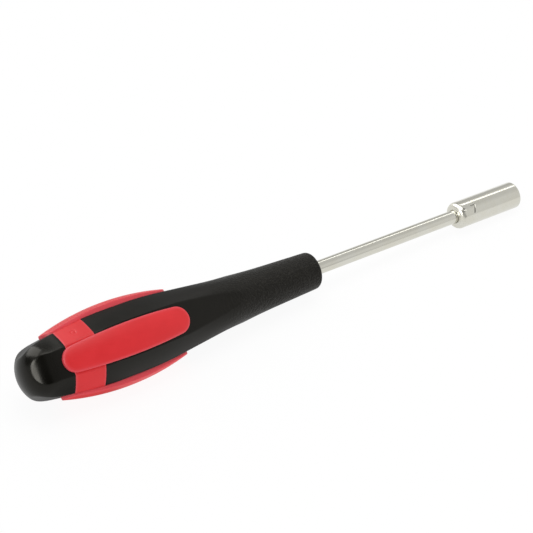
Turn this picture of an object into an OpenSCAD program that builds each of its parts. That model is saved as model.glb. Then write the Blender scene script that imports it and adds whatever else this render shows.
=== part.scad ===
// Hand nut driver: a hex socket pressed on a round blade, in a moulded handle with soft grip pads.
// The tool lies along X and the socket's mouth faces +X. The origin is on the axis at the nut seat,
// where the hex ends and the stud clearance bore begins. The grip pads stand at 45 degrees to Z, so
// the tool rests on two of them.

/* [Socket] */
// Nut size across flats
nut_af = 7; // [5.5:0.1:10]
// Clearance of the hex over the nut, across flats
nut_clearance = 0.1; // [0.05:0.01:0.2]
// Depth of the hex, from the mouth to the nut seat
hex_depth = 10; // [6:0.5:14]
// Width of the ledge that stops the nut, at the middle of a hex flat
seat_ledge = 0.55; // [0.3:0.05:0.8]
// Depth of the stud clearance bore behind the hex
stud_depth = 9.5; // [5:0.5:14]
// Length of the blade's seat at the back of the socket
seat_len = 10; // [7:0.5:14]
// Wall of the socket outside the corners of the hex
socket_wall = 0.95; // [0.8:0.05:2]
// Rounding of the socket's rear shoulder
shoulder_r = 2.2; // [0.5:0.1:2.3]
// Rounding of the socket's front rim
rim_r = 0.5; // [0.2:0.1:0.7]
// Width of the lead-in chamfer at the mouth
mouth_chamfer = 0.4; // [0.1:0.05:0.6]
// Diameter of the staking dimple on the rear shoulder
stake_d = 2; // [1:0.1:2.4]
// Depth of the staking dimple
stake_depth = 0.4; // [0.2:0.05:0.6]

/* [Blade] */
// Diameter of the round blade
blade_d = 5; // [4:0.1:5.4]
// Length of blade that shows between handle and socket
blade_show = 67; // [30:1:150]
// Length of blade inside the handle
tang_len = 78; // [60:1:90]
// Span over the two flattened wings that carry the torque
wing_span = 9.6; // [7:0.2:14]
// Thickness of a wing
wing_thick = 2.2; // [1.5:0.1:3]
// Length of a wing, with its sloping ends
wing_len = 14; // [8:0.5:20]
// Distance of the wings from the buried end of the blade
wing_back = 6; // [3:0.5:20]
// Chamfer at the buried end of the blade
tang_chamfer = 0.6; // [0.2:0.1:1]

/* [Handle] */
// Length of the handle
handle_len = 118; // [105:1:140]
// Diameter that the tail cone would have at the very butt
butt_d = 18.5; // [17:0.1:22]
// Length of the domed butt
dome_len = 7.2; // [4:0.1:10]
// Diameter over the round lobes at the belly
belly_d = 26.4; // [25:0.1:30]
// Distance from the butt to the rear end of the belly
belly_rear = 26; // [22:0.5:30]
// Distance from the butt to the front end of the belly
belly_front = 49; // [44:0.5:56]
// Distance from the butt to the rear end of the neck
neck_rear = 85; // [80:0.5:95]
// Diameter of the neck at its rear end
neck_rear_d = 16.2; // [15:0.1:18]
// Diameter of the neck at its front end
neck_front_d = 13.4; // [11:0.1:15]
// Rounding of the neck's front edge
front_edge_r = 1.4; // [0.5:0.1:2.5]
// Half length of the blends at the belly's two ends
belly_blend = 10; // [4:0.5:11]
// Half length of the blend where the belly runs into the neck
neck_blend = 14; // [4:0.5:18]

/* [Flats] */
// Depth of the flats below the lobes, along the belly
flat_depth = 1.45; // [1:0.05:2.5]
// Depth of the flats below the tail cone, where they leave the butt's rounding
flat_tail_depth = 1; // [0.5:0.05:2]
// Depth of the flats below the tail cone at the very butt
flat_butt_depth = 3.9; // [1.5:0.05:5]
// Height of the flats' front end over the neck's rear end
flat_out_rise = 0.4; // [0.2:0.05:1]
// Distance from the butt to where the flats leave its rounding
flat_tail = 5.6; // [4:0.2:8]
// Distance from the butt to the rear end of the level flat
flat_rear = 25.4; // [22:0.2:30]
// Distance from the butt to the front end of the level flat
flat_front = 46.6; // [42:0.2:54]
// Distance from the butt to where the sloping flat ends
flat_out = 79; // [74:0.5:86]
// Half length of the blends between the flats
flat_blend = 7; // [2:0.5:9]
// Half length of the blend at the flats' rear end
flat_tail_blend = 4; // [1:0.5:4]

/* [Grip] */
// Distance from the butt to the rear tip of a pad
pad_rear = 11.5; // [9:0.1:14]
// Length of a pad
pad_len = 47.8; // [40:0.2:54]
// Width of a pad at its crown
pad_w = 10.95; // [9:0.05:11.2]
// Radius of a pad's bulging sides
pad_side_r = 207; // [150:1:400]
// Height of a pad's crown over the belly's lobes
pad_stand = 1.3; // [0.8:0.1:3]
// Distance from the butt to the crown of a pad
crown_at = 36.5; // [32:0.5:40]
// Radius of the pads' lengthwise crown
crown_r = 92; // [80:1:140]
// Distance from the butt to the rear edge of the band
band_rear = 14.1; // [12:0.1:17]
// Width of the band along the handle
band_w = 10.7; // [6:0.1:14]
// Thickness of the band where it passes under a pad
band_under = 0.7; // [0.5:0.05:2]

/* [Hidden] */
$fn = 96;
// Clearance between mouldings, and between the tang and the handle
mould_gap = 0.03;
// Clearance of the blade in its press seat
press_gap = 0.01;
// Run-over of cutting shapes
over = 1;
// Squareness of the dome: 2 is an ellipse and more is squarer
dome_power = 2.2;
dome_steps = 10;
side_steps = 8;
end_steps = 12;
blend_steps = 6;
crown_steps = 24;
pad_count = 4;
pad_turn = 360 / pad_count;
first_pad_angle = 45;
hex_sides = 6;
// Place of the staking dimple: its angle round the axis, and its share of the way up the shoulder's round
stake_angle = 214;
stake_share = 0.95;
// Share of a wing's length that each sloping end takes
wing_slope_share = 0.25;

hex_af = nut_af + nut_clearance;
hex_d = hex_af / cos(180 / hex_sides);
stud_d = hex_af - 2 * seat_ledge;
socket_d = hex_d + 2 * socket_wall;
socket_len = hex_depth + stud_depth + seat_len;
socket_back = hex_depth - socket_len;
// The lead-in cone narrows from outside the hex's corners to the middles of its flats
lead_in = mouth_chamfer + (hex_d - hex_af) / 2;
blade_front = -stud_depth;
handle_front = socket_back - blade_show;
butt = handle_front - handle_len;
blade_len = blade_front - handle_front + tang_len;
pad_front = pad_rear + pad_len;
crown_d = belly_d + 2 * pad_stand;
// A radius that is clear of the whole handle
clear_r = belly_d + crown_d;

// Points of [radius, place] round a corner, blended over a half length that its two sides limit
function toward(from, to, length) = from + (to - from) * min(length / norm(to - from), 1 / 2);
function blend(before, corner, after, length) =
    let (a = toward(corner, before, length), b = toward(corner, after, length))
    [for (i = [0:blend_steps]) let (t = i / blend_steps)
        a * (1 - t) * (1 - t) + corner * 2 * t * (1 - t) + b * t * t];

// Radius of the tail cone at a distance from the butt
function tail_r(place) = (butt_d + (belly_d - butt_d) * place / belly_rear) / 2;

// The handle's lobe profile: domed butt, tail cone, belly, slope and neck
dome_points = [for (i = [0:dome_steps])
    let (angle = 90 * (1 - i / dome_steps), power = 2 / dome_power,
         place = dome_len * (1 - pow(sin(angle), power)))
    [tail_r(place) * pow(cos(angle), power), place]];
tail_corner = [tail_r(dome_len), dome_len];
belly_rear_corner = [belly_d / 2, belly_rear];
belly_front_corner = [belly_d / 2, belly_front];
neck_corner = [neck_rear_d / 2, neck_rear];
front_corner = [neck_front_d / 2, handle_len];
front_centre = [0, handle_len];
lobe_points = concat(
    dome_points,
    blend(tail_corner, belly_rear_corner, belly_front_corner, belly_blend),
    blend(belly_rear_corner, belly_front_corner, neck_corner, belly_blend),
    blend(belly_front_corner, neck_corner, front_corner, neck_blend),
    blend(neck_corner, front_corner, front_centre, front_edge_r),
    [front_centre]);

// The floor of a flat, as [distance from the axis, place] points
flat_belly_r = belly_d / 2 - flat_depth;
flat_out_r = neck_rear_d / 2 + flat_out_rise;
flat_butt_corner = [tail_r(0) - flat_butt_depth, 0];
flat_tail_corner = [tail_r(flat_tail) - flat_tail_depth, flat_tail];
flat_rear_corner = [flat_belly_r, flat_rear];
flat_front_corner = [flat_belly_r, flat_front];
flat_out_corner = [flat_out_r, flat_out];
flat_end_corner = [flat_out_r, handle_len];
flat_points = concat(
    [flat_butt_corner],
    blend(flat_butt_corner, flat_tail_corner, flat_rear_corner, flat_tail_blend),
    blend(flat_tail_corner, flat_rear_corner, flat_front_corner, flat_blend),
    blend(flat_rear_corner, flat_front_corner, flat_out_corner, flat_blend),
    blend(flat_front_corner, flat_out_corner, flat_end_corner, flat_blend),
    [flat_end_corner]);

// The pads' outer envelope: a long arc about the crown
function crown_radius(place) =
    crown_d / 2 - crown_r + sqrt(crown_r * crown_r - (place - crown_at) * (place - crown_at));
crown_points = [for (i = [0:crown_steps])
    let (place = pad_rear - over + (pad_len + 2 * over) * i / crown_steps)
    [crown_radius(place), place]];

// Puts what is built along Z, from the butt, on the tool's axis
module on_axis(start) {
    translate([start, 0, 0]) rotate([0, 90, 0]) children();
}

// Places children at one pad's angle round the axis
module at_pad(index) {
    rotate([0, 0, first_pad_angle + index * pad_turn]) children();
}

// What one flat takes off the handle; a raise leaves a clearance over the floor
module flat_space(raise) {
    outer = [[clear_r, handle_len], [clear_r, 0]];
    translate([raise, 0, 0]) rotate([90, 0, 0])
        linear_extrude(2 * clear_r, center = true) polygon(concat(flat_points, outer));
}

// The handle before the band's groove and the blade's seat are cut
module handle_blank() {
    difference() {
        rotate_extrude() polygon(lobe_points);
        for (i = [0:pad_count - 1]) at_pad(i) flat_space(0);
    }
}

// The ring of material that the band takes, shrunk by a clearance
module band_space(shrink) {
    inner = [for (p = flat_points) [p[0] - band_under + shrink, p[1]]];
    difference() {
        translate([0, 0, band_rear + shrink]) cylinder(h = band_w - 2 * shrink, r = clear_r);
        rotate_extrude() polygon(concat([[0, 0]], inner, [front_centre]));
    }
}

// The blade's flattened wings, lying in the plane of Y, grown by a clearance
module wings(grow) {
    half = wing_span / 2 + grow;
    root = blade_d / 4;
    tail = wing_back - grow;
    head = wing_back + wing_len + grow;
    slope = wing_len * wing_slope_share;
    rotate([90, 0, 90]) linear_extrude(wing_thick + 2 * grow, center = true) polygon([
        [-root, tail], [root, tail], [half, tail + slope], [half, head - slope],
        [root, head], [-root, head], [-half, head - slope], [-half, tail + slope]]);
}

// The blade from its buried end to the given length, grown by a clearance
module rod(length, grow) {
    full_d = blade_d + 2 * grow;
    tip_d = full_d - 2 * tang_chamfer;
    translate([0, 0, -grow]) cylinder(h = tang_chamfer, d1 = tip_d, d2 = full_d);
    translate([0, 0, tang_chamfer - grow]) cylinder(h = length - tang_chamfer + grow, d = full_d);
    wings(grow);
}

// Radius of a pad's round end that touches both bulging sides, for the distance from crown to tip
function pad_end_r(reach) =
    (pad_side_r * pad_w - pad_w * pad_w / 4 - reach * reach) / (2 * (pad_side_r - reach));

// Direction in which a bulging side touches a round end
function touch_at(middle, end_r) = acos((middle - crown_at) / (pad_side_r - end_r));

// Points of an arc about a middle, without its first point
function arc(middle, radius, from, to, steps) = [for (i = [1:steps])
    let (turn = from + (to - from) * i / steps)
    middle + radius * [cos(turn), sin(turn)]];

// A pad's outline as a prism along Z: two round ends and the bulging sides that touch both
module pad_prism(height) {
    rear_r = pad_end_r(crown_at - pad_rear);
    front_r = pad_end_r(pad_front - crown_at);
    rear_middle = [pad_rear + rear_r, 0];
    front_middle = [pad_front - front_r, 0];
    side_middle = [crown_at, pad_w / 2 - pad_side_r];
    rear_touch = touch_at(rear_middle[0], rear_r);
    front_touch = touch_at(front_middle[0], front_r);
    half = concat(
        [[pad_rear, 0]],
        arc(rear_middle, rear_r, 180, rear_touch, end_steps),
        arc(side_middle, pad_side_r, rear_touch, front_touch, side_steps),
        arc(front_middle, front_r, front_touch, 0, end_steps));
    other_half = [for (i = [len(half) - 2:-1:1]) [half[i][0], -half[i][1]]];
    linear_extrude(height) polygon(concat(half, other_half));
}

// One grip pad, seated on its flat
module pad_form() {
    intersection() {
        rotate([0, -90, 0]) mirror([0, 0, 1]) pad_prism(crown_d);
        rotate_extrude() polygon(concat(
            [[0, pad_rear - over]], crown_points, [[0, pad_front + over]]));
        flat_space(mould_gap);
    }
}

module grip_pad(index) {
    color("crimson") on_axis(butt) at_pad(index) pad_form();
}

module grip_band() {
    color("indianred") on_axis(butt) intersection() {
        handle_blank();
        band_space(mould_gap);
    }
}

module handle_body() {
    color("#262622") on_axis(butt) difference() {
        handle_blank();
        band_space(0);
        translate([0, 0, handle_len - tang_len]) rod(tang_len + over, mould_gap);
    }
}

module blade() {
    color("lightgray") on_axis(handle_front - tang_len) rod(blade_len, 0);
}

// The socket's outside: rounded rear shoulder, straight wall and rounded front rim
module socket_outside() {
    outer = socket_d / 2;
    corners = [[0, 0], [outer, 0], [outer, socket_len], [0, socket_len]];
    rotate_extrude() polygon(concat(
        [corners[0]],
        blend(corners[0], corners[1], corners[2], shoulder_r),
        blend(corners[1], corners[2], corners[3], rim_r),
        [corners[3]]));
}

// A round dimple punched into the rear shoulder to stake the socket on the blade
module stake() {
    ball_r = (stake_d * stake_d / 4 + stake_depth * stake_depth) / (2 * stake_depth);
    rest = 1 - stake_share;
    foot = [socket_d / 2 - shoulder_r * rest * rest, shoulder_r * stake_share * stake_share];
    outward = [stake_share, -rest] / norm([stake_share, rest]);
    centre = foot + outward * (ball_r - stake_depth);
    rotate([0, 0, stake_angle]) translate([centre[0], 0, centre[1]]) sphere(ball_r);
}

module socket() {
    color("silver") on_axis(socket_back) difference() {
        socket_outside();
        translate([0, 0, -over]) cylinder(h = seat_len + over, d = blade_d + 2 * press_gap);
        translate([0, 0, seat_len]) cylinder(h = stud_depth, d = stud_d);
        translate([0, 0, seat_len + stud_depth]) cylinder(h = hex_depth + over, d = hex_d, $fn = hex_sides);
        translate([0, 0, socket_len - lead_in])
            cylinder(h = lead_in + over, d1 = hex_af, d2 = hex_af + 2 * (lead_in + over));
        stake();
    }
}

blade();
socket();
handle_body();
grip_band();
grip_pad(0);  // grip_pad_1
grip_pad(1);  // grip_pad_2
grip_pad(2);  // grip_pad_3
grip_pad(3);  // grip_pad_4
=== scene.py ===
"""Looks of a hand nut driver: a plated socket and blade in a black moulded handle with soft red grip pads.

The tool lies along X with its mouth at +X. Handle places are distances from the butt along the axis.
"""
from bisect import bisect_left
from math import acos, atan2, cos, hypot, pi, radians, sin, sqrt

import bmesh
import bpy
from bpy.props import FloatProperty, FloatVectorProperty, PointerProperty
from mathutils import Matrix, Vector


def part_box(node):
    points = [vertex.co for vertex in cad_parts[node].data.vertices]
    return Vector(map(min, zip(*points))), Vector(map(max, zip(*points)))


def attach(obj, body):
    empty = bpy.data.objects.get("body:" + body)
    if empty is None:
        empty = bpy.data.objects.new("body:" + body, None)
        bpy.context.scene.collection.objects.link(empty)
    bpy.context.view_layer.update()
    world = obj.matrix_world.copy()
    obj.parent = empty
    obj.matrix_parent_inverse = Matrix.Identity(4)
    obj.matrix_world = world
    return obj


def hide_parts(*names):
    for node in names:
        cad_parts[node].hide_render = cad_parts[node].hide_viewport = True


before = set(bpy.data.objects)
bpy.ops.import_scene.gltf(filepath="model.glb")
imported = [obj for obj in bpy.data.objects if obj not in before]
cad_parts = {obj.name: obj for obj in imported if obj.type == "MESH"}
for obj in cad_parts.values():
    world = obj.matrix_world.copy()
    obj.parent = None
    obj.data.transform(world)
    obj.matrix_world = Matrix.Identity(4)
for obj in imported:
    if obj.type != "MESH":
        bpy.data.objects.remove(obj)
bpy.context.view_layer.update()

bl_info = {
    "name": "Nut driver looks",
    "version": (1, 0, 0),
    "blender": (4, 5, 0),
    "location": "3D View > Sidebar > Nut driver",
    "description": "Builds the finished pieces of a hand nut driver round its solid model",
    "category": "Object",
}

MM = 0.001
HANDLE_LOW, HANDLE_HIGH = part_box("handle_body")
BAND_LOW, BAND_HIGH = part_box("grip_band")
PAD_LOW, PAD_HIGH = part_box("grip_pad_3")
BLADE_LOW, BLADE_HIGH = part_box("blade")
SOCKET_LOW, SOCKET_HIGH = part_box("socket")
BUTT = HANDLE_LOW.x

# Mesh fineness
HALF_COLUMNS = 20
FLAT_COLUMNS = 12
HANDLE_COLUMNS = 8 * HALF_COLUMNS
SOCKET_COLUMNS = 192
BLADE_COLUMNS = 96
RING_STEP = 1.0 * MM
DOME_STEPS = 32
CURVE_STEPS = 16
PAD_ARC = 20
PAD_RINGS = 7
MERGE = 0.001 * MM
SHARP_ANGLE = radians(38)

# Clearances as in the solid model
MOULD_GAP = 0.03 * MM
PRESS_GAP = 0.01 * MM

# Distance of the light cards from what they light
CARD_DISTANCE = 1.0


def length(name, description, default):
    """A length property, in metres."""
    return FloatProperty(name=name, description=description, default=default, min=0.0, precision=5, unit="LENGTH")


def number(name, description, default, subtype="NONE"):
    """A plain number property, or an angle."""
    return FloatProperty(name=name, description=description, default=default, subtype=subtype)


def colour(name, description, default):
    """A linear colour property."""
    return FloatVectorProperty(name=name, description=description, default=default, size=3, min=0.0, max=1.0,
                               subtype="COLOR")


class HandleSettings(bpy.types.PropertyGroup):
    """Sizes and finish of the moulded handle."""
    handle_len: length("Length", "Length of the handle", HANDLE_HIGH.x - BUTT)
    butt_d: length("Butt cone", "Diameter of the tail cone at the very butt", 18.5 * MM)
    dome_len: length("Dome", "Length of the domed butt", 7.2 * MM)
    dome_power: number("Dome squareness", "2 is an ellipse and more is squarer", 2.2)
    belly_d: length("Belly", "Diameter over the round lobes at the belly", 2 * HANDLE_HIGH.z)
    belly_rear: length("Belly rear", "Rear end of the belly", 26 * MM)
    belly_front: length("Belly front", "Front end of the belly", 49 * MM)
    belly_blend: length("Belly blend", "Half length of the blends at the belly's ends", 10 * MM)
    neck_rear: length("Neck rear", "Rear end of the neck", 85 * MM)
    neck_rear_d: length("Neck rear diameter", "Diameter of the neck at its rear end", 16.2 * MM)
    neck_front_d: length("Neck front diameter", "Diameter of the neck at its front end", 13.4 * MM)
    neck_blend: length("Neck blend", "Half length of the blend into the neck", 14 * MM)
    front_edge_r: length("Front edge", "Rounding of the neck's front edge", 1.4 * MM)
    flat_depth: length("Flat depth", "Depth of the flats below the lobes, along the belly", 1.45 * MM)
    flat_tail_depth: length("Flat depth at tail", "Depth of the flats where they leave the dome", 1.0 * MM)
    flat_butt_depth: length("Flat depth at butt", "Depth of the flats at the very butt", 3.9 * MM)
    flat_out_rise: length("Flat rise", "Height of the flats' front end over the neck", 0.4 * MM)
    flat_tail: length("Flat tail", "Where the flats leave the dome", 5.6 * MM)
    flat_rear: length("Flat rear", "Rear end of the level flat", 25.4 * MM)
    flat_front: length("Flat front", "Front end of the level flat", 46.6 * MM)
    flat_out: length("Flat end", "Where the sloping flat ends", 79 * MM)
    flat_blend: length("Flat blend", "Half length of the blends between the flats", 7 * MM)
    flat_tail_blend: length("Flat tail blend", "Half length of the blend at the flats' rear end", 4 * MM)
    ridge_r: length("Ridge rounding", "Rounding of the ridges between flats and lobes", 0.3 * MM)
    lobe_flatness: number("Lobe flatness", "0 is a round lobe along the grip and 1 a flat one", 0.6)
    flatness_rear: length("Flatness rear", "Where the lobes reach their flatness behind the band", 12 * MM)
    flatness_front: length("Flatness front", "Where the lobes begin to turn round towards the neck", 55 * MM)
    tail_soft: length("Tail softness", "Depth over which the flats' tails melt into the butt's dome", 0.4 * MM)
    groove_edge_r: length("Groove edge", "Rounding of the band groove's edges", 0.08 * MM)
    black: colour("Black", "Colour of the hard plastic", (0.0034, 0.0031, 0.0023))
    black_worn: colour("Black, paler", "Colour of its paler patches", (0.0056, 0.0051, 0.0038))
    # Lighter black for painted glints on the tops of the neck's grain
    black_grain_glint: colour("Black, grain tops", "Colour of the tops of the neck's grain", (0.0125, 0.0116, 0.0092))


class GripSettings(bpy.types.PropertyGroup):
    """Sizes and finish of the soft grip."""
    pad_rear: length("Pad rear", "Rear tip of a pad", PAD_LOW.x - BUTT)
    pad_len: length("Pad length", "Length of a pad", PAD_HIGH.x - PAD_LOW.x)
    pad_w: length("Pad width", "Width of a pad at its crown", 10.95 * MM)
    pad_side_r: length("Pad sides", "Radius of a pad's bulging sides", 207 * MM)
    pad_stand: length("Pad height", "Height of a pad's crown over the belly's lobes", 1.3 * MM)
    pad_edge_r: length("Pad edge", "Rounding of a pad's upper edge", 0.75 * MM)
    crown_at: length("Crown place", "Place of a pad's crown", 36.5 * MM)
    crown_r: length("Crown radius", "Radius of the pads' lengthwise crown", 92 * MM)
    band_rear: length("Band rear", "Rear edge of the band", BAND_LOW.x - BUTT - MOULD_GAP)
    band_w: length("Band width", "Width of the band", BAND_HIGH.x - BAND_LOW.x + 2 * MOULD_GAP)
    band_under: length("Band under pads", "Thickness of the band under a pad", 0.7 * MM)
    band_edge_r: length("Band edge", "Rounding of the band's edges", 0.12 * MM)
    gate_d: length("Gate mark", "Diameter of the moulding gate's mark on the band", 2.0 * MM)
    gate_depth: length("Gate depth", "Depth of the gate mark", 0.14 * MM)
    red: colour("Red", "Colour of the soft plastic", (0.785, 0.021, 0.027))
    red_deep: colour("Red, deeper", "Colour of its deeper patches", (0.74, 0.017, 0.022))
    # Paler red for the painted highlight along the pads' and band's rounded edges
    red_edge_highlight: colour("Red, at edges", "Colour of thin moulded edges", (0.84, 0.10, 0.13))


class SteelSettings(bpy.types.PropertyGroup):
    """Sizes and finish of the plated blade and socket."""
    blade_d: length("Blade diameter", "Diameter of the round blade", 2 * BLADE_HIGH.z)
    wing_span: length("Wing span", "Span over the tang's wings", 2 * BLADE_HIGH.y)
    wing_thick: length("Wing thickness", "Thickness of a wing", 2.2 * MM)
    wing_len: length("Wing length", "Length of a wing", 14 * MM)
    wing_back: length("Wing place", "Distance of the wings from the buried end", 6 * MM)
    tang_chamfer: length("Tang chamfer", "Chamfer at the blade's ends", 0.6 * MM)
    socket_d: length("Socket diameter", "Outside diameter of the socket", 2 * SOCKET_HIGH.z)
    hex_af: length("Hex", "Width of the hex across flats", 7.1 * MM)
    stud_d: length("Stud bore", "Diameter of the stud clearance bore", 6.0 * MM)
    stud_depth: length("Stud depth", "Depth of the stud clearance bore", -BLADE_HIGH.x)
    shoulder_r: length("Shoulder", "Rounding of the socket's rear shoulder", 2.2 * MM)
    rim_r: length("Rim", "Rounding of the socket's front rim", 0.5 * MM)
    mouth_chamfer: length("Mouth chamfer", "Width of the lead-in at the mouth", 0.4 * MM)
    entry_chamfer: length("Handle entry", "Chamfer where the blade enters the handle", 0.2 * MM)
    entry_gap: length("Socket entry", "Width of the gap round the blade where it enters the socket", 0.15 * MM)
    stake_d: length("Stake", "Diameter of the staking dimple", 1.5 * MM)
    stake_depth: length("Stake depth", "Depth of the staking dimple", 0.4 * MM)
    stake_place: number("Stake place", "0 is the shoulder's rear face and 1 the socket's wall", 0.95)
    stake_angle: number("Stake angle", "Angle of the dimple round the axis, from +Y", radians(124), "ANGLE")
    digit_h: length("Size number", "Height of the stamped size number", 3.0 * MM)
    digit_w: length("Size number width", "Width of the stamped size number", 1.9 * MM)
    digit_stroke: length("Number stroke", "Width of the number's strokes", 0.42 * MM)
    digit_depth: length("Number depth", "Depth of the stamped number", 0.16 * MM)
    digit_place: length("Number place", "Distance of the stamped number from the shoulder", 4.3 * MM)
    digit_angle: number("Number angle", "Angle of the number round the axis, from +Y", radians(133), "ANGLE")
    steel: colour("Steel", "Colour of the plating", (0.645, 0.637, 0.575))
    steel_warm: colour("Steel, warmer", "Colour of its warmer patches", (0.63, 0.615, 0.54))
    # Darker steel in the stamped number and the dimple: settled grime and painted shade in the hollows
    steel_grime_and_shade: colour("Steel, grimy", "Colour of what settles in the number and the dimple", (0.16, 0.155, 0.14))


class StageSettings(bpy.types.PropertyGroup):
    """Camera, floor and light."""
    camera_place: FloatVectorProperty(name="Camera place", description="Where the camera stands", size=3,
                                      default=(-0.42875, -0.38187, 0.37526), subtype="TRANSLATION")
    camera_turn: FloatVectorProperty(name="Camera turn", description="How the camera is turned", size=3,
                                     default=(radians(53.588), radians(-5.002), radians(-36.398)), subtype="EULER")
    lens: number("Lens", "Focal length in millimetres on a 36 mm sensor", 121.576)
    tent: number("Tent light", "Brightness of the white surroundings", 0.86)
    ceiling: number("Ceiling light", "Brightness of the surroundings overhead", 0.70)
    floor_glow: number("Floor light", "Light that the floor itself sends out", 0.93)
    floor_white: colour("Floor", "Colour of the floor", (0.08, 0.08, 0.08))


def settings(name):
    """One of this scene's groups of settings."""
    return getattr(bpy.context.scene, "nut_driver_" + name)


# Outlines

def smooth_step(low, high, value):
    """0 at low and 1 at high, smooth between; low may be the larger."""
    part = min(max((value - low) / (high - low), 0.0), 1.0)
    return part * part * (3 - 2 * part)


def distance_to_stroke(spot, start, stop):
    """Distance of a flat point from a straight stroke."""
    line = stop - start
    part = min(max((spot - start).dot(line) / line.length_squared, 0.0), 1.0)
    return (spot - start - line * part).length


def corner_curve(before, corner, after, reach):
    """Points of a curve round a corner; it leaves each side at most halfway along."""
    def toward(end):
        side = end - corner
        return corner + side * min(reach / side.length, 0.5)
    start, stop = toward(before), toward(after)
    curve = []
    for i in range(CURVE_STEPS + 1):
        t = i / CURVE_STEPS
        curve.append(start.lerp(corner, t).lerp(corner.lerp(stop, t), t))
    return curve


def tail_r(s, place):
    """Radius of the tail cone."""
    return (s.butt_d + (s.belly_d - s.butt_d) * place / s.belly_rear) / 2


def lobe_outline(s):
    """The handle over its lobes, as (place, radius) points from the butt to the front face."""
    dome = [Vector((0.0, 0.0))]
    power = 2 / s.dome_power
    for i in range(1, DOME_STEPS + 1):
        angle = pi / 2 * (1 - i / DOME_STEPS)
        place = s.dome_len * (1 - sin(angle) ** power)
        dome.append(Vector((place, tail_r(s, place) * cos(angle) ** power)))
    rear = Vector((s.belly_rear, s.belly_d / 2))
    front = Vector((s.belly_front, s.belly_d / 2))
    neck = Vector((s.neck_rear, s.neck_rear_d / 2))
    edge = Vector((s.handle_len, s.neck_front_d / 2))
    centre = Vector((s.handle_len, 0.0))
    return (dome
            + corner_curve(dome[-1], rear, front, s.belly_blend)
            + corner_curve(rear, front, neck, s.belly_blend)
            + corner_curve(front, neck, edge, s.neck_blend)
            + corner_curve(neck, edge, centre, s.front_edge_r))


def floor_outline(s):
    """The floor of a flat, as (place, distance from the axis) points."""
    belly = s.belly_d / 2 - s.flat_depth
    out = s.neck_rear_d / 2 + s.flat_out_rise
    corners = [Vector((0.0, tail_r(s, 0.0) - s.flat_butt_depth)),
               Vector((s.flat_tail, tail_r(s, s.flat_tail) - s.flat_tail_depth)),
               Vector((s.flat_rear, belly)),
               Vector((s.flat_front, belly)),
               Vector((s.flat_out, out)),
               Vector((s.handle_len, out))]
    reaches = [s.flat_tail_blend, s.flat_blend, s.flat_blend, s.flat_blend]
    points = [corners[0]]
    for i, reach in enumerate(reaches):
        points += corner_curve(corners[i], corners[i + 1], corners[i + 2], reach)
    return points + [corners[-1]]


def level(outline, place):
    """The outline's height at a place."""
    places = [p.x for p in outline]
    i = min(max(bisect_left(places, place), 1), len(outline) - 1)
    before, after = outline[i - 1], outline[i]
    span = after.x - before.x
    t = 0.0 if span == 0 else min(max((place - before.x) / span, 0.0), 1.0)
    return before.y + (after.y - before.y) * t


def stretch(start, stop, step=RING_STEP):
    """Evenly spread places from start to stop, both included."""
    count = max(1, round((stop - start) / step))
    return [start + (stop - start) * i / count for i in range(count + 1)]


def crown_radius(s, g, place):
    """Radius of the pads' outer envelope."""
    away = place - g.crown_at
    return s.belly_d / 2 + g.pad_stand - g.crown_r + sqrt(g.crown_r ** 2 - away ** 2)


def arc(middle, radius, start, stop, steps):
    """Points of an arc about a middle, from one direction to another, without the first point."""
    turns = [start + (stop - start) * i / steps for i in range(1, steps + 1)]
    return [middle + radius * Vector((cos(turn), sin(turn))) for turn in turns]


def pad_end(g, reach):
    """Radius of a pad's round end, which touches both bulging sides, for the distance from crown to tip."""
    return (g.pad_side_r * g.pad_w - g.pad_w ** 2 / 4 - reach ** 2) / (2 * (g.pad_side_r - reach))


def pad_outline(g):
    """A pad's outline seen from above, as (place, offset) points, and its two end radii."""
    tip = g.pad_rear + g.pad_len
    rear_r, front_r = pad_end(g, g.crown_at - g.pad_rear), pad_end(g, tip - g.crown_at)
    rear, front = Vector((g.pad_rear + rear_r, 0.0)), Vector((tip - front_r, 0.0))
    side = Vector((g.crown_at, g.pad_w / 2 - g.pad_side_r))
    rear_touch = acos((rear.x - g.crown_at) / (g.pad_side_r - rear_r))
    front_touch = acos((front.x - g.crown_at) / (g.pad_side_r - front_r))
    half = ([Vector((g.pad_rear, 0.0))]
            + arc(rear, rear_r, pi, rear_touch, PAD_ARC)
            + arc(side, g.pad_side_r, rear_touch, front_touch, round(g.pad_len / RING_STEP))
            + arc(front, front_r, front_touch, 0.0, PAD_ARC))
    return half + [Vector((p.x, -p.y)) for p in reversed(half[1:-1])], rear_r, front_r


# Meshes

def spun(profile, columns, closed=False):
    """The profile of (x, radius) points, turned once round the tool's axis."""
    bm = bmesh.new()
    verts = [bm.verts.new((p[0], 0.0, p[1])) for p in profile]
    edges = [bm.edges.new(pair) for pair in zip(verts, verts[1:])]
    if closed:
        edges.append(bm.edges.new((verts[-1], verts[0])))
    bmesh.ops.spin(bm, geom=verts + edges, axis=(1, 0, 0), cent=(0, 0, 0), angle=2 * pi, steps=columns,
                   use_merge=True)
    close_up(bm)
    return bm


def close_up(bm):
    """Merges doubled vertices and turns all faces outwards."""
    bmesh.ops.remove_doubles(bm, verts=bm.verts[:], dist=MERGE)
    bmesh.ops.recalc_face_normals(bm, faces=bm.faces[:])


def set_radius(vert, radius, angle=None):
    """Moves a vertex to a distance from the axis, and to an angle where one is given."""
    if angle is None:
        angle = atan2(vert.co.z, vert.co.y)
    vert.co.y = radius * cos(angle)
    vert.co.z = radius * sin(angle)


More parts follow.
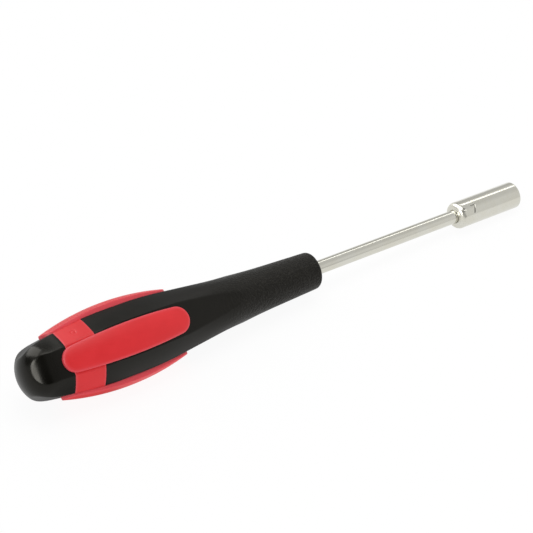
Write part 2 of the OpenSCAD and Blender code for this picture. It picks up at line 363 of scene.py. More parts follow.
def fold_flats(bm, s):
    """Presses the four flats into a spun mesh and returns the vertices on their ridges.

    The columns are drawn together so that one of them runs along each ridge. Along the grip the lobes are
    drawn towards flat, and in the dome the flats' tails melt into it.
    """
    floor = floor_outline(s)
    soft_start, soft_full = 0.9 * s.flat_tail, 0.3 * s.flat_tail
    quarter, half = pi / 2, pi / 4
    flat_share = FLAT_COLUMNS / HALF_COLUMNS
    least_ridge, on_ridge = radians(2.5), 0.1 / HALF_COLUMNS
    ridges = set()
    for vert in bm.verts:
        radius = hypot(vert.co.y, vert.co.z)
        if radius < MERGE:
            continue
        place = vert.co.x - BUTT
        depth = level(floor, place)
        soft = s.tail_soft * smooth_step(soft_start, soft_full, place)
        flatness = s.lobe_flatness * smooth_step(s.dome_len, s.flatness_rear, place)
        flatness *= smooth_step(s.flat_out, s.flatness_front, place)
        angle = atan2(vert.co.z, vert.co.y)
        pad_angle = half + quarter * round((angle - half) / quarter)
        turn = angle - pad_angle
        part = abs(turn) / half
        ridge = max(acos(min(depth / radius, 1.0)), least_ridge)
        if part <= flat_share:
            swing = part / flat_share * ridge
        else:
            swing = ridge + (part - flat_share) / (1 - flat_share) * (half - ridge)
            chord = radius * cos(half - ridge) / cos(half - swing)
            radius += flatness * (chord - radius)
        if abs(part - flat_share) < on_ridge and radius > depth and soft < MERGE:
            ridges.add(vert)
        flat = depth / cos(swing)
        melt = max(1 - abs(radius - flat) / max(soft, MERGE), 0.0)
        swing = swing if turn > 0 else -swing
        set_radius(vert, min(radius, flat) - melt ** 2 * soft / 4, pad_angle + swing)
    return ridges


def spread_wings(bm, t, rear, front, grow, radius):
    """Draws out the tang's two flat wings, or the room for them, from a round wall about the axis."""
    half = t.wing_span / 2 + grow
    slope = t.wing_len / 4
    side_room = 8 * grow
    thick = t.wing_thick / 2 + side_room
    for vert in bm.verts:
        if hypot(vert.co.y, vert.co.z) > radius + MERGE or abs(vert.co.z) > thick:
            continue
        end = min(vert.co.x - rear, front - vert.co.x)
        if end > -MERGE:
            reach = radius / 2 + (half - radius / 2) * min(max(end, 0.0) / slope, 1.0)
            vert.co.y = max(abs(vert.co.y), reach) * (1 if vert.co.y > 0 else -1)


def bevel_edges(bm, edges, radius, segments):
    """Rounds the given edges."""
    bmesh.ops.bevel(bm, geom=edges, offset=radius, offset_type="OFFSET", segments=segments, profile=0.5,
                    affect="EDGES", clamp_overlap=True, material=-1)


def bevel_ridges(bm, ridges, radius):
    """Rounds the ridges where they are sharp enough to show."""
    least_angle = radians(5)
    edges = [e for e in bm.edges
             if e.verts[0] in ridges and e.verts[1] in ridges and e.is_manifold
             and abs(e.verts[0].co.x - e.verts[1].co.x) > MERGE and e.calc_face_angle() > least_angle]
    bevel_edges(bm, edges, radius, segments=3)


def ring_edges(bm, x):
    """The sharp edges that run round the tool at one place along it."""
    least_angle = radians(60)
    return [e for e in bm.edges
            if all(abs(v.co.x - x) < MERGE for v in e.verts)
            and e.is_manifold and e.calc_face_angle() > least_angle and e.is_convex]


def refine(bm, centre, reach, cuts):
    """Divides the faces near a point and returns the vertices there."""
    margin = 1.6
    faces = [f for f in bm.faces if (f.calc_center_median() - centre).length < reach]
    edges = list({e for f in faces for e in f.edges})
    bmesh.ops.subdivide_edges(bm, edges=edges, cuts=cuts, use_grid_fill=True)
    return [v for v in bm.verts if (v.co - centre).length < reach * margin]


def add_object(name, data):
    """An object in the scene."""
    made = bpy.data.objects.new(name, data)
    bpy.context.scene.collection.objects.link(made)
    return made


def add_mesh(name, bm, material):
    """An object in the scene with the finished mesh and its material."""
    mesh = bpy.data.meshes.new(name)
    bm.to_mesh(mesh)
    bm.free()
    mesh.materials.append(material)
    return add_object(name, mesh)


def add_piece(name, bm, material, slot, *nodes):
    """Makes the finished mesh a piece that rides on the tool and stands for its solid nodes."""
    for face in bm.faces:
        face.smooth = True
    for edge in bm.edges:
        edge.smooth = not edge.is_manifold or edge.calc_face_angle() < SHARP_ANGLE
    piece = add_mesh(name, bm, material)
    shading = piece.modifiers.new("Even shading", "WEIGHTED_NORMAL")
    shading.keep_sharp = True
    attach(piece, "root")
    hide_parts(*nodes)


# Finishes

def add_node(tree, kind, **values):
    """A new node with its named inputs set; a value that is a socket is linked."""
    node = tree.nodes.new(kind)
    for name, value in values.items():
        fill(tree, node, name.replace("_", " "), value)
    return node


def fill(tree, node, name, value):
    """Sets or links one input of a node."""
    socket = node.inputs[name]
    if isinstance(value, bpy.types.NodeSocket):
        tree.links.new(value, socket)
    else:
        socket.default_value = value


def arithmetic(tree, operation, first, second):
    """A Math node's result."""
    node = tree.nodes.new("ShaderNodeMath")
    node.operation = operation
    fill(tree, node, 0, first)
    fill(tree, node, 1, second)
    return node.outputs[0]


def weighted_sum(tree, start, *terms):
    """A value plus each mask times its weight."""
    total = start
    for mask, weight in terms:
        total = arithmetic(tree, "ADD", total, arithmetic(tree, "MULTIPLY", mask, weight))
    return total


def vector_number(tree, operation, *vectors):
    """A Vector Math node's result, where it is a number."""
    node = tree.nodes.new("ShaderNodeVectorMath")
    node.operation = operation
    for index, vector in enumerate(vectors):
        fill(tree, node, index, vector)
    return node.outputs["Value"]


def attribute(tree, name):
    """A value that the mesh carries on its vertices."""
    node = tree.nodes.new("ShaderNodeAttribute")
    node.attribute_name = name
    return node.outputs["Fac"]


def blend_colour(tree, factor, first, second):
    """A Mix node's colour between two colours or sockets."""
    node = tree.nodes.new("ShaderNodeMix")
    node.data_type = "RGBA"
    for index, value in ((0, factor), (6, first), (7, second)):
        if not isinstance(value, (bpy.types.NodeSocket, float)):
            value = (*value, 1.0)
        fill(tree, node, index, value)
    return node.outputs[2]


def ramp(tree, value, low, high, start=0.0, end=1.0):
    """A smooth step of a value between two levels."""
    node = add_node(tree, "ShaderNodeMapRange", Value=value, From_Min=low, From_Max=high, To_Min=start, To_Max=end)
    node.interpolation_type = "SMOOTHSTEP"
    return node.outputs[0]


def new_group(name, *outputs):
    """A node group for a texture; returns its tree, its Vector, its Scale and its end node."""
    tree = bpy.data.node_groups.new(name, "ShaderNodeTree")
    for label, kind in (("Vector", "NodeSocketVector"), ("Scale", "NodeSocketFloat")):
        tree.interface.new_socket(name=label, in_out="INPUT", socket_type=kind)
    for label in outputs:
        tree.interface.new_socket(name=label, in_out="OUTPUT", socket_type="NodeSocketFloat")
    start = tree.nodes.new("NodeGroupInput")
    return tree, start.outputs["Vector"], start.outputs["Scale"], tree.nodes.new("NodeGroupOutput")


def mottle_group():
    """Soft cloudy patches: a mask from 0 to 1."""
    name = "mottle"
    if name in bpy.data.node_groups:
        return bpy.data.node_groups[name]
    tree, vector, scale, end = new_group(name, "Mask")
    noise = add_node(tree, "ShaderNodeTexNoise", Vector=vector, Scale=scale, Detail=4.0, Roughness=0.55)
    tree.links.new(ramp(tree, noise.outputs["Fac"], low=0.32, high=0.68), end.inputs["Mask"])
    return tree


def grain_group():
    """Fine moulded grain: a height, and a mask of its tops."""
    name = "grain"
    if name in bpy.data.node_groups:
        return bpy.data.node_groups[name]
    pit_depth = 0.5
    tree, vector, scale, end = new_group(name, "Height", "Tops")
    noise = add_node(tree, "ShaderNodeTexNoise", Vector=vector, Scale=scale, Detail=2.0, Roughness=0.6)
    cells = add_node(tree, "ShaderNodeTexVoronoi", Vector=vector, Scale=scale)
    cells.feature = "SMOOTH_F1"
    pits = arithmetic(tree, "MULTIPLY", cells.outputs["Distance"], pit_depth)
    height = arithmetic(tree, "SUBTRACT", noise.outputs["Fac"], pits)
    tree.links.new(height, end.inputs["Height"])
    tree.links.new(ramp(tree, height, low=0.2, high=0.5), end.inputs["Tops"])
    return tree


def place_group(tree, group, vector, scale):
    """Puts a node group in a material."""
    node = tree.nodes.new("ShaderNodeGroup")
    node.node_tree = group
    fill(tree, node, "Vector", vector)
    fill(tree, node, "Scale", scale)
    return node


def new_material(name):
    """A material, its node tree, its shader and its Object coordinates."""
    material = bpy.data.materials.new(name)
    material.use_nodes = True
    tree = material.node_tree
    shader = tree.nodes["Principled BSDF"]
    where = tree.nodes.new("ShaderNodeTexCoord").outputs["Object"]
    return material, tree, shader, where


def set_bump(tree, shader, height, strength, distance):
    """Feeds a height to the shader's normal."""
    bump = add_node(tree, "ShaderNodeBump", Strength=strength, Distance=distance, Height=height)
    tree.links.new(bump.outputs["Normal"], shader.inputs["Normal"])


def black_moulding(s):
    """Hard black plastic: polished at the butt, satin on the grip, spark grained with painted glints on the neck.
    """
    polished, satin_adds, neck_adds, patches_add = 0.17, 0.2, 0.12, 0.05
    neck_relief, satin_relief, most_worn = 3.1, 0.12, 0.5
    neck_from, neck_full = BUTT + s.flat_out - 12 * MM, BUTT + s.neck_rear + 14 * MM
    satin_from, satin_full = BUTT + s.dome_len - 1 * MM, BUTT + s.dome_len + 6 * MM
    material, tree, shader, where = new_material("black_moulding")
    along = add_node(tree, "ShaderNodeSeparateXYZ", Vector=where).outputs["X"]
    patches = place_group(tree, mottle_group(), where, scale=160.0).outputs["Mask"]
    grain = place_group(tree, grain_group(), where, scale=1500.0)
    neck = ramp(tree, along, neck_from, neck_full)
    satin = ramp(tree, along, satin_from, satin_full)
    worn = arithmetic(tree, "MULTIPLY", patches, most_worn)
    # Painted glints: the tops of the neck's grain get a lighter black
    tops = arithmetic(tree, "MULTIPLY", grain.outputs["Tops"], neck)
    tone = blend_colour(tree, worn, s.black, s.black_worn)
    fill(tree, shader, "Base Color", blend_colour(tree, tops, tone, s.black_grain_glint))
    rough = weighted_sum(tree, polished, (satin, satin_adds), (neck, neck_adds), (patches, patches_add))
    fill(tree, shader, "Roughness", rough)
    fill(tree, shader, "Specular IOR Level", 0.21)
    fill(tree, shader, "Specular Tint", (1.0, 0.97, 0.88, 1.0))
    relief = weighted_sum(tree, 0.0, (neck, neck_relief), (satin, satin_relief))
    height = arithmetic(tree, "MULTIPLY", grain.outputs["Height"], relief)
    set_bump(tree, shader, height, strength=1.0, distance=0.12 * MM)
    return material


def soft_red(g):
    """Soft red plastic with a satin skin and a painted highlight along its rounded edges."""
    name = "soft_red"
    if name in bpy.data.materials:
        return bpy.data.materials[name]
    satin, patches_add, edge_highlight_strength = 0.42, 0.08, 0.6
    material, tree, shader, where = new_material(name)
    patches = place_group(tree, mottle_group(), where, scale=110.0).outputs["Mask"]
    grain = place_group(tree, grain_group(), where, scale=2600.0)
    tone = blend_colour(tree, patches, g.red_deep, g.red)
    # Painted highlight: the paler red along the rounded edges, by the edge attribute
    paler = arithmetic(tree, "MULTIPLY", attribute(tree, "edge"), edge_highlight_strength)
    fill(tree, shader, "Base Color", blend_colour(tree, paler, tone, g.red_edge_highlight))
    fill(tree, shader, "Roughness", weighted_sum(tree, satin, (patches, patches_add)))
    fill(tree, shader, "Specular IOR Level", 0.35)
    set_bump(tree, shader, grain.outputs["Height"], strength=0.35, distance=0.03 * MM)
    return material


def plated_steel(s, name, lines):
    """Bright plating over machined steel; lines is how close its fine marks lie along X, Y and Z."""
    bright, marks_add, matt_adds, grime_and_shade_cover = 0.11, 0.05, 0.2, 0.75
    material, tree, shader, where = new_material(name)
    patches = place_group(tree, mottle_group(), where, scale=220.0).outputs["Mask"]
    stretched = add_node(tree, "ShaderNodeMapping", Vector=where, Scale=lines).outputs["Vector"]
    marks = place_group(tree, mottle_group(), stretched, scale=1.0).outputs["Mask"]
    plating = blend_colour(tree, patches, s.steel, s.steel_warm)
    # Darker in the number and the dimple: settled grime and painted shade
    settled_grime_and_shade = arithmetic(tree, "MULTIPLY", attribute(tree, "grime_and_shade"), grime_and_shade_cover)
    fill(tree, shader, "Base Color", blend_colour(tree, settled_grime_and_shade, plating, s.steel_grime_and_shade))
    fill(tree, shader, "Metallic", 1.0)
    rough = weighted_sum(tree, bright, (marks, marks_add), (attribute(tree, "matt"), matt_adds))
    fill(tree, shader, "Roughness", rough)
    set_bump(tree, shader, marks, strength=0.12, distance=0.01 * MM)
    return material


# Operators

class NUT_DRIVER_OT_handle(bpy.types.Operator):
    """Builds the moulded handle with its lobes, flats, band groove and blade bore"""
    bl_idname = "nut_driver.handle"
    bl_label = "Moulded handle"

    def execute(self, context):
        s, g, t = settings("handle"), settings("grip"), settings("steel")
        lobe, floor = lobe_outline(s), floor_outline(s)
        groove_rear, groove_front = g.band_rear, g.band_rear + g.band_w
        edge_place = s.handle_len - 2 * s.front_edge_r
        bore_r = t.blade_d / 2 + MOULD_GAP
        tang_end = BLADE_LOW.x - BUTT - MOULD_GAP
        wing_rear, wing_front = tang_end + t.wing_back, tang_end + t.wing_back + t.wing_len + 2 * MOULD_GAP
        over_lobes = stretch(s.dome_len, groove_rear)[1:]
        under_band = stretch(groove_rear, groove_front)
        to_neck = stretch(groove_front, edge_place)
        bore_step = 10 * MM
        profile = lobe[:DOME_STEPS + 1]
        profile += [(x, level(lobe, x)) for x in over_lobes]
        profile += [(x, level(floor, x) - g.band_under) for x in under_band]
        profile += [(x, level(lobe, x)) for x in to_neck]
        profile += [p for p in lobe if p.x > edge_place + MERGE]
        profile += [(s.handle_len, bore_r + t.entry_chamfer), (s.handle_len - t.entry_chamfer, bore_r)]
        profile += [(x, bore_r) for x in reversed(stretch(wing_front, s.handle_len - bore_step, bore_step))]
        profile += [(x, bore_r) for x in reversed(stretch(wing_rear, wing_front)[:-1])]
        profile += [(tang_end + t.tang_chamfer, bore_r), (tang_end, bore_r - t.tang_chamfer), (tang_end, 0.0)]
        bm = spun([(BUTT + p[0], p[1]) for p in profile], HANDLE_COLUMNS)
        ridges = fold_flats(bm, s)
        spread_wings(bm, t, BUTT + wing_rear, BUTT + wing_front, MOULD_GAP, bore_r)
        bevel_ridges(bm, ridges, s.ridge_r)
        rims = ring_edges(bm, BUTT + groove_rear) + ring_edges(bm, BUTT + groove_front)
        bevel_edges(bm, rims, s.groove_edge_r, segments=2)
        add_piece("moulded_handle", bm, black_moulding(s), "handle_black", "handle_body")
        return {"FINISHED"}


class NUT_DRIVER_OT_band(bpy.types.Operator):
    """Builds the soft band that lies flush in the lobes and passes under the pads"""
    bl_idname = "nut_driver.band"
    bl_label = "Soft band"

    def execute(self, context):
        s, g = settings("handle"), settings("grip")
        lobe, floor = lobe_outline(s), floor_outline(s)
        rear, front = g.band_rear + MOULD_GAP, g.band_rear + g.band_w - MOULD_GAP
        places = stretch(rear, front, RING_STEP / 2)
        profile = [(BUTT + x, level(lobe, x)) for x in places]
        profile += [(BUTT + x, level(floor, x) - g.band_under + MOULD_GAP) for x in reversed(places)]
        bm = spun(profile, HANDLE_COLUMNS, closed=True)
        ridges = fold_flats(bm, s)
        bevel_ridges(bm, ridges, s.ridge_r)
        rims = ring_edges(bm, BUTT + rear) + ring_edges(bm, BUTT + front)
        bevel_edges(bm, rims, g.band_edge_r, segments=3)
        self.press_gate(bm, g, BUTT + (rear + front) / 2)
        # Painted highlight along the band's rounded rims: the edge attribute rises towards each rim
        edge = bm.verts.layers.float.new("edge")
        fade = 0.6 * MM
        for vert in bm.verts:
            place = vert.co.x - BUTT
            vert[edge] = 1 - min(min(place - rear, front - place) / fade, 1.0)
        add_piece("soft_band", bm, soft_red(g), "grip_red", "grip_band")
        return {"FINISHED"}

    def press_gate(self, bm, g, x):
        """Presses a round gate mark with a small stub in it into the band's top."""
        centre = Vector((x, 0.0, max(v.co.z for v in bm.verts if abs(v.co.x - x) < RING_STEP / 2)))
        edge, stub, stub_rise = g.gate_d / 2, g.gate_d / 6, 1.3
        soft = g.gate_d / 10
        inside = centre.z - g.gate_d / 3
        for vert in refine(bm, centre, reach=g.gate_d, cuts=4):
            if vert.co.z < inside:
                continue
            radius = hypot(vert.co.y, vert.co.z)
            away = hypot(vert.co.x - centre.x, vert.co.y)
            dip = smooth_step(edge + soft, edge - soft, away)
            dip -= stub_rise * smooth_step(stub + soft, stub - soft, away)
            set_radius(vert, radius - g.gate_depth * dip)


class NUT_DRIVER_OT_pads(bpy.types.Operator):
    """Builds the four soft pads, one on each flat"""
    bl_idname = "nut_driver.pads"
    bl_label = "Soft pads"

    def execute(self, context):
        s, g = settings("handle"), settings("grip")
        for index in range(1, 5):
            angle = radians(-45 + 90 * (index - 1))
            bm = self.pad(s, g)
            bmesh.ops.transform(bm, matrix=Matrix.Rotation(angle - pi / 2, 4, "X"), verts=bm.verts[:])
            add_piece(f"soft_pad_{index}", bm, soft_red(g), "grip_red", f"grip_pad_{index}")
        return {"FINISHED"}

    def pad(self, s, g):
        """One pad, standing on its flat towards +Z."""
        floor = floor_outline(s)
        points, rear_r, front_r = pad_outline(g)
        rear_at = BUTT + g.pad_rear + rear_r
        front_at = BUTT + g.pad_rear + g.pad_len - front_r
        bm = bmesh.new()
        loop = [bm.verts.new((BUTT + p.x, p.y, 0.0)) for p in points]
        outline = [bm.edges.new(pair) for pair in zip(loop, loop[1:] + loop[:1])]

        def middle(co):
            return Vector((min(max(co.x, rear_at), front_at), 0.0, co.z))

        def half_width(co):
            if co.x < rear_at or co.x > front_at:
                return rear_r if co.x < rear_at else front_r
            return g.pad_w / 2 - g.pad_side_r + sqrt(g.pad_side_r ** 2 - (co.x - BUTT - g.crown_at) ** 2)

        def extruded(edges):
            """The new vertices of an extruded loop, and the new edges between them."""
            made = bmesh.ops.extrude_edge_only(bm, edges=edges)["geom"]
            verts = [v for v in made if isinstance(v, bmesh.types.BMVert)]
            new = set(verts)
            return verts, [e for e in made if isinstance(e, bmesh.types.BMEdge) and new.issuperset(e.verts)]

        def closed_inwards(edges):
            """Rings from the outline to the pad's middle line; the outer ones lie close together."""
            reach, crowding = 1.0, 1.4
            made = []
            for ring in range(1, PAD_RINGS + 1):
                inner = 1 - (ring / PAD_RINGS) ** crowding if ring < PAD_RINGS else 0.0
                verts, edges = extruded(edges)
                for vert in verts:
                    vert.co = middle(vert.co).lerp(vert.co, inner / reach)
                made += verts
                reach = inner
            return made

        under = [v for e in outline for v in e.verts] + closed_inwards(outline)
        wall_tops, rim = extruded(outline)
        over = wall_tops + closed_inwards(rim)
        for vert in set(under):
            vert.co.z = level(floor, vert.co.x - BUTT) + MOULD_GAP
        for vert in over:
            vert.co.z = sqrt(crown_radius(s, g, vert.co.x - BUTT) ** 2 - vert.co.y ** 2)
        close_up(bm)
        bevel_edges(bm, [e for e in rim if e.is_valid], g.pad_edge_r, segments=5)
        # Painted highlight along the pad's rounded upper edge: the edge attribute rises within the rounding
        edge = bm.verts.layers.float.new("edge")
        fade = 1.3 * g.pad_edge_r
        for vert in bm.verts:
            inside = half_width(vert.co) - (vert.co - middle(vert.co)).length
            vert[edge] = 1 - min(max(inside, 0.0) / fade, 1.0)
        return bm


class NUT_DRIVER_OT_blade(bpy.types.Operator):
    """Builds the round blade with the wings of its buried tang"""
    bl_idname = "nut_driver.blade"
    bl_label = "Plated blade"

    def execute(self, context):
        t = settings("steel")
        radius, chamfer = t.blade_d / 2, t.tang_chamfer
        rear, front = BLADE_LOW.x, BLADE_HIGH.x
        wing_rear, wing_front = rear + t.wing_back, rear + t.wing_back + t.wing_len
        profile = [(rear, 0.0), (rear, radius - chamfer), (rear + chamfer, radius)]
        profile += [(x, radius) for x in stretch(wing_rear, wing_front)]
        profile += [(x, radius) for x in stretch(wing_front, front - chamfer, 5 * RING_STEP)[1:]]
        profile += [(front, radius - chamfer), (front, 0.0)]
        bm = spun(profile, BLADE_COLUMNS)
        spread_wings(bm, t, wing_rear, wing_front, 0.0, radius)
        drawn = (60.0, 9000.0, 9000.0)
        add_piece("plated_blade", bm, plated_steel(t, "drawn_plated_steel", drawn), "blade_plating", "blade")
        return {"FINISHED"}


class NUT_DRIVER_OT_socket(bpy.types.Operator):
    """Builds the turned socket with its hex, bores, staking dimple and stamped size number"""
    bl_idname = "nut_driver.socket"
    bl_label = "Plated socket"

    def execute(self, context):
        t = settings("steel")
        rear, mouth = SOCKET_LOW.x, SOCKET_HIGH.x
        outer, seat_r = t.socket_d / 2, t.blade_d / 2 + PRESS_GAP
        hex_r = t.hex_af / 2 / cos(pi / 6)
        blade_seat = -t.stud_depth
        corners = [Vector((rear, 0.0)), Vector((rear, outer)), Vector((mouth, outer)), Vector((mouth, 0.0))]
        shoulder = corner_curve(corners[0], corners[1], corners[2], t.shoulder_r)
        rim = corner_curve(corners[1], corners[2], corners[3], t.rim_r)
        wall = [Vector((x, outer)) for x in stretch(shoulder[-1].x, rim[0].x, RING_STEP / 2)[1:-1]]
        gap_r, gap_end = seat_r + t.entry_gap, rear + 5 * t.entry_gap
        profile = [(gap_end, seat_r), (gap_end, gap_r), (rear, gap_r)] + [p[:] for p in shoulder + wall + rim]
        profile += [(mouth, hex_r + t.mouth_chamfer), (mouth - t.mouth_chamfer, hex_r)]
        profile += [(x, hex_r) for x in reversed(stretch(0.0, mouth - 4 * t.mouth_chamfer, 2 * RING_STEP))]
        profile += [(0.0, t.stud_d / 2), (blade_seat, t.stud_d / 2), (blade_seat, seat_r)]
        bm = spun(profile, SOCKET_COLUMNS, closed=True)
        self.press_hex(bm, hex_r, mouth - t.mouth_chamfer)
        self.press_stake(bm, t)
        self.stamp_seven(bm, t, shoulder[-1].x)
        turned = (9000.0, 60.0, 60.0)
        add_piece("plated_socket", bm, plated_steel(t, "turned_plated_steel", turned), "socket_plating", "socket")
        return {"FINISHED"}

    def press_hex(self, bm, hex_r, lead_in):
        """Turns the round wall of the hex into six flats; the lead-in cone runs on down each flat."""
        side = pi / 3
        for vert in bm.verts:
            if abs(hypot(vert.co.y, vert.co.z) - hex_r) > MERGE:
                continue
            angle = atan2(vert.co.z, vert.co.y)
            off = angle - side * round(angle / side)
            wall = hex_r * cos(pi / 6) / cos(off)
            if abs(vert.co.x - lead_in) < MERGE:
                vert.co.x -= hex_r - wall
            set_radius(vert, wall)

    def press_stake(self, bm, t):
        """Punches the round staking dimple into the rear shoulder."""
        share, rest = t.stake_place, 1 - t.stake_place
        foot = Vector((SOCKET_LOW.x + t.shoulder_r * share ** 2, t.socket_d / 2 - t.shoulder_r * rest ** 2))
        out = Vector((-rest, share)).normalized()
        spoke = Vector((0.0, cos(t.stake_angle), sin(t.stake_angle)))
        axis = Vector((1.0, 0.0, 0.0))
        centre = axis * foot.x + spoke * foot.y
        outward = axis * out.x + spoke * out.y
        edge, lip, lip_rise = t.stake_d / 2, t.stake_d / 12, 0.12
        lip_end, grime_and_shade_from, grime_and_shade_full = 1.5 * edge, 0.25 * edge, 0.7 * edge
        matt = bm.verts.layers.float.new("matt")
        grime_and_shade = bm.verts.layers.float.new("grime_and_shade")
        for vert in bm.verts:
            vert[matt] = smooth_step(foot.x, SOCKET_LOW.x + t.shoulder_r / 2, vert.co.x)
        for vert in refine(bm, centre, reach=t.stake_d * 0.8, cuts=4):
            gap = vert.co - centre
            if gap.dot(outward) < -t.stake_d / 2:
                continue
            on_wall = gap - outward * gap.dot(outward)
            away = on_wall.length
            within = smooth_step(edge + lip, edge - lip, away)
            bowl = max(1 - (away / edge) ** 2, 0.0) * within
            raised = smooth_step(lip_end, edge, away) * (1 - within)
            vert.co -= outward * t.stake_depth * (bowl - lip_rise * raised)
            vert[matt] *= smooth_step(edge, lip_end, away)
            # Grime and painted shade in the dimple's bowl
            vert[grime_and_shade] = within * smooth_step(grime_and_shade_from, grime_and_shade_full, away)

    def stamp_seven(self, bm, t, wall_start):
        """Stamps a plain 7, the nut size in millimetres, that reads along the tool."""
        angle, outer = t.digit_angle, t.socket_d / 2
        middle_x = wall_start + t.digit_place
        centre = Vector((middle_x, outer * cos(angle), outer * sin(angle)))
        top, right = t.digit_h / 2, t.digit_w / 2
        strokes = [(Vector((-right, top)), Vector((right, top))),
                   (Vector((right, top)), Vector((-right / 3, -top)))]
        half = t.digit_stroke / 2
        cut_edge, cut_floor, grime_and_shade_edge, grime_and_shade_full = 1.4 * half, 0.5 * half, 1.3 * half, 0.6 * half
        grime_and_shade = bm.verts.layers.float["grime_and_shade"]
        for vert in refine(bm, centre, reach=t.digit_h * 0.75, cuts=5):
            radius = hypot(vert.co.y, vert.co.z)
            if radius < outer - 2 * t.digit_depth or vert.co.x < wall_start:
                continue
            turn = angle - atan2(vert.co.z, vert.co.y)
            spot = Vector((vert.co.x - middle_x, turn * outer))
            near = min(distance_to_stroke(spot, *ends) for ends in strokes)
            set_radius(vert, outer - t.digit_depth * smooth_step(cut_edge, cut_floor, near))
            # Grime and painted shade in the number's strokes
            vert[grime_and_shade] = smooth_step(grime_and_shade_edge, grime_and_shade_full, near)


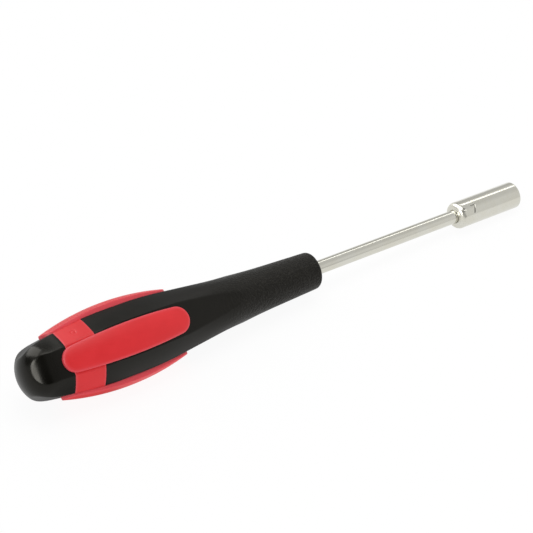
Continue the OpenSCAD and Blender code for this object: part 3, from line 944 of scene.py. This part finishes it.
class NUT_DRIVER_OT_stage(bpy.types.Operator):
    """Sets the pale floor, the soft light and the camera"""
    bl_idname = "nut_driver.stage"
    bl_label = "Stage"
    # Dark places in the surroundings: direction, inner and outer angle in degrees, and the share of light left
    dark_places = (((-0.40, -0.64, 0.66), 8, 20, 0.05),
                   ((-0.10, -0.70, 0.70), 12, 40, 0.5),
                   ((-0.75, 0.56, 0.32), 8, 20, 0.2),
                   ((0.30, -0.93, 0.20), 5, 20, 0.5),
                   ((0.55, 0.80, 0.15), 12, 32, 0.72),
                   ((0.36, 0.70, 0.62), 8, 20, 0.6))

    def execute(self, context):
        v = settings("stage")
        self.floor(v)
        self.surroundings(context.scene, v)
        middle = Vector((BUTT * 0.45, 0.0, 0.0))
        butt = Vector((BUTT, 0.0, 0.0))
        self.card("strip", middle, (0.62, 0.432, 0.67), size=(0.36, 0.09), glow=2.0)
        self.card("top_card", butt, (-0.24, 0.68, 0.67), size=(0.74, 0.90), glow=3.7)
        self.card("left_card", butt, (-0.74, -0.25, 0.54), size=(0.68, 0.32), glow=9.8)
        overhead = self.card("overhead", butt, (0.10, 0.0, 1.0), size=(0.60, 0.60), glow=2.4)
        overhead.visible_diffuse = True
        camera = bpy.data.cameras.new("camera")
        camera.lens = v.lens
        camera.sensor_width = 36.0
        camera.clip_start = 0.01
        camera.clip_end = 20.0
        viewer = add_object("camera", camera)
        viewer.location = v.camera_place
        viewer.rotation_euler = v.camera_turn
        context.scene.camera = viewer
        return {"FINISHED"}

    def floor(self, v):
        """A pale floor that touches the two lower pads and the socket's underside."""
        touch = Vector((SOCKET_HIGH.x - settings("steel").rim_r, 0.0, SOCKET_LOW.z))
        slope = max((touch.z - p.co.z) / (touch.x - p.co.x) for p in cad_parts["grip_pad_4"].data.vertices)
        bm = bmesh.new()
        bmesh.ops.create_grid(bm, x_segments=4, y_segments=4, size=6.0)
        lie = Matrix.Translation(touch) @ Matrix.Rotation(-atan2(slope, 1.0), 4, "Y")
        bmesh.ops.transform(bm, matrix=lie, verts=bm.verts[:])
        material, tree, shader, where = new_material("pale_floor")
        fill(tree, shader, "Base Color", (*v.floor_white, 1.0))
        fill(tree, shader, "Roughness", 0.9)
        fill(tree, shader, "Specular IOR Level", 0.0)
        fill(tree, shader, "Emission Color", (1.0, 1.0, 1.0, 1.0))
        near, far, far_share = 0.4, 1.2, 0.75
        glow = ramp(tree, vector_number(tree, "LENGTH", where), near, far, v.floor_glow, far_share * v.floor_glow)
        fill(tree, shader, "Emission Strength", arithmetic(tree, "MULTIPLY", glow, self.butt_shade(tree, where)))
        floor = add_mesh("floor", bm, material)

    def butt_shade(self, tree, where):
        """Share of the floor's glow that is mirrored: less near the butt, as a painted shadow."""
        centre, reach, inner, most = (BUTT + 20 * MM, 18 * MM), (24 * MM, 60 * MM), 0.5, 0.75
        spot = add_node(tree, "ShaderNodeMapping", Vector=where, Scale=(1 / reach[0], 1 / reach[1], 0.0),
                        Location=(-centre[0] / reach[0], -centre[1] / reach[1], 0.0)).outputs["Vector"]
        shade = ramp(tree, vector_number(tree, "LENGTH", spot), inner, 1.0, most, 0.0)
        mirrored = tree.nodes.new("ShaderNodeLightPath").outputs["Is Glossy Ray"]
        return arithmetic(tree, "SUBTRACT", 1.0, arithmetic(tree, "MULTIPLY", shade, mirrored))

    def surroundings(self, scene, v):
        """White surroundings and a plain view of the colours."""
        world = bpy.data.worlds.new("tent")
        world.use_nodes = True
        tree = world.node_tree
        background = tree.nodes["Background"]
        toward = tree.nodes.new("ShaderNodeTexCoord").outputs["Object"]
        up = add_node(tree, "ShaderNodeSeparateXYZ", Vector=toward).outputs["Z"]
        ceiling_from, ceiling_full = 0.6, 0.85
        glow = ramp(tree, up, ceiling_from, ceiling_full, v.tent, v.ceiling)
        for centre, inner, outer, least in self.dark_places:
            glow = self.dimmed(tree, toward, glow, Vector(centre).normalized(), inner, outer, least)
        fill(tree, background, "Strength", glow)
        fill(tree, background, "Color", (1.0, 1.0, 1.0, 1.0))
        scene.world = world
        scene.view_settings.view_transform = "Standard"

    def dimmed(self, tree, toward, glow, centre, inner, outer, least):
        """Fades the surroundings to a share of their glow round one direction, between two angles in degrees."""
        turn = vector_number(tree, "DOT_PRODUCT", toward, centre)
        near = ramp(tree, turn, cos(radians(outer)), cos(radians(inner)), 1.0, least)
        return arithmetic(tree, "MULTIPLY", glow, near)

    def card(self, name, target, direction, size, glow):
        """A light card in a direction from its target; its first side lies level, and a glow of 1 is white."""
        light = bpy.data.lights.new(name, "AREA")
        light.shape = "RECTANGLE"
        light.size, light.size_y = size
        light.energy = glow * pi * size[0] * size[1]
        card = add_object(name, light)
        direction = Vector(direction).normalized()
        card.visible_diffuse = False
        card.location = target + CARD_DISTANCE * direction
        card.rotation_euler = direction.to_track_quat("Z", "Y").to_euler()
        return card


class NUT_DRIVER_PT_pieces(bpy.types.Panel):
    """Lists the pieces and the stage"""
    bl_idname = "NUT_DRIVER_PT_pieces"
    bl_label = "Nut driver"
    bl_space_type = "VIEW_3D"
    bl_region_type = "UI"
    bl_category = "Nut driver"

    def draw(self, context):
        for operator in PIECE_OPERATORS:
            self.layout.operator(operator.bl_idname)


GROUPS = {"handle": HandleSettings, "grip": GripSettings, "steel": SteelSettings, "stage": StageSettings}
PIECE_OPERATORS = (NUT_DRIVER_OT_stage, NUT_DRIVER_OT_handle, NUT_DRIVER_OT_band, NUT_DRIVER_OT_pads,
                   NUT_DRIVER_OT_blade, NUT_DRIVER_OT_socket)
CLASSES = (*GROUPS.values(), *PIECE_OPERATORS, NUT_DRIVER_PT_pieces)


def register():
    for cls in CLASSES:
        bpy.utils.register_class(cls)
    for name, group in GROUPS.items():
        setattr(bpy.types.Scene, "nut_driver_" + name, PointerProperty(type=group))


def unregister():
    for name in GROUPS:
        delattr(bpy.types.Scene, "nut_driver_" + name)
    for cls in reversed(CLASSES):
        bpy.utils.unregister_class(cls)


def main():
    register()
    bpy.ops.nut_driver.stage()
    bpy.ops.nut_driver.handle()
    bpy.ops.nut_driver.band()
    bpy.ops.nut_driver.pads()
    bpy.ops.nut_driver.blade()
    bpy.ops.nut_driver.socket()


if __name__ == "__main__":
    main()
